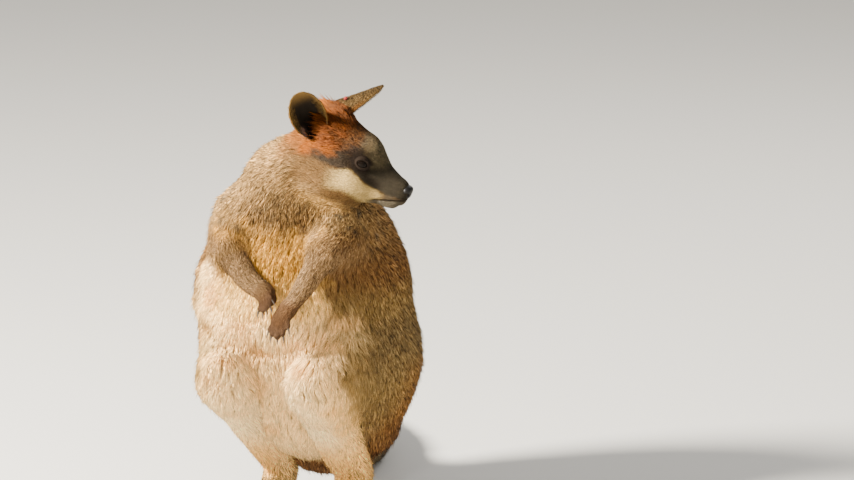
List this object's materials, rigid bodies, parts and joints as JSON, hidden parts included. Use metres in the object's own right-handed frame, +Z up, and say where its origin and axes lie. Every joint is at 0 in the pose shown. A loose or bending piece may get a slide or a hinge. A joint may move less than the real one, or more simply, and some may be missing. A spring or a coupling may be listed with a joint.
{
  "type": "wallaby",
  "caption": "Still, life-size swamp wallaby standing upright at rest on its hind feet and tail, forepaws together at its belly and head turned to its left.",
  "frame": {"origin": "middle of the bounding box at floor level, where the soles and the tail lie", "axes": "+Z up, the body faces -Y, +X is the animal's left"},
  "size_m": [0.3796, 0.7264, 0.514],
  "materials": {
    "coat": "dense fur: grizzled brown-grey above, buff and pale cream on belly and chest, rust between the ears",
    "nose_skin": "bare moist pebbled skin",
    "eye": "wet dark brown, clear-coated",
    "claw": "smooth dark horn",
    "ear_tag": "plain red plastic stud"
  },
  "bodies": {
    "root": {"belly": "coat", "chest": "coat", "claw_foot_l_five": "claw", "claw_foot_l_four": "claw", "claw_foot_l_three": "claw", "claw_foot_l_two": "claw", "claw_foot_r_five": "claw", "claw_foot_r_four": "claw", "claw_foot_r_three": "claw", "claw_foot_r_two": "claw", "claw_hand_l1": "claw", "claw_hand_l2": "claw", "claw_hand_l3": "claw", "claw_hand_l4": "claw", "claw_hand_l5": "claw", "claw_hand_r1": "claw", "claw_hand_r2": "claw", "claw_hand_r3": "claw", "claw_hand_r4": "claw", "claw_hand_r5": "claw", "ear_l": "coat", "ear_r": "coat", "ear_tag": "ear_tag", "eye_l": "eye", "eye_r": "eye", "foot_l": "coat", "foot_r": "coat", "forearm_l": "coat", "forearm_r": "coat", "hand_l": "coat", "hand_r": "coat", "head": "coat", "neck": "coat", "nose": "nose_skin", "rump": "coat", "shank_l": "coat", "shank_r": "coat", "tail_base": "coat", "tail_mid": "coat", "tail_tip": "coat", "thigh_l": "coat", "thigh_r": "coat", "upper_arm_l": "coat", "upper_arm_r": "coat"}
  },
  "joints": []
}
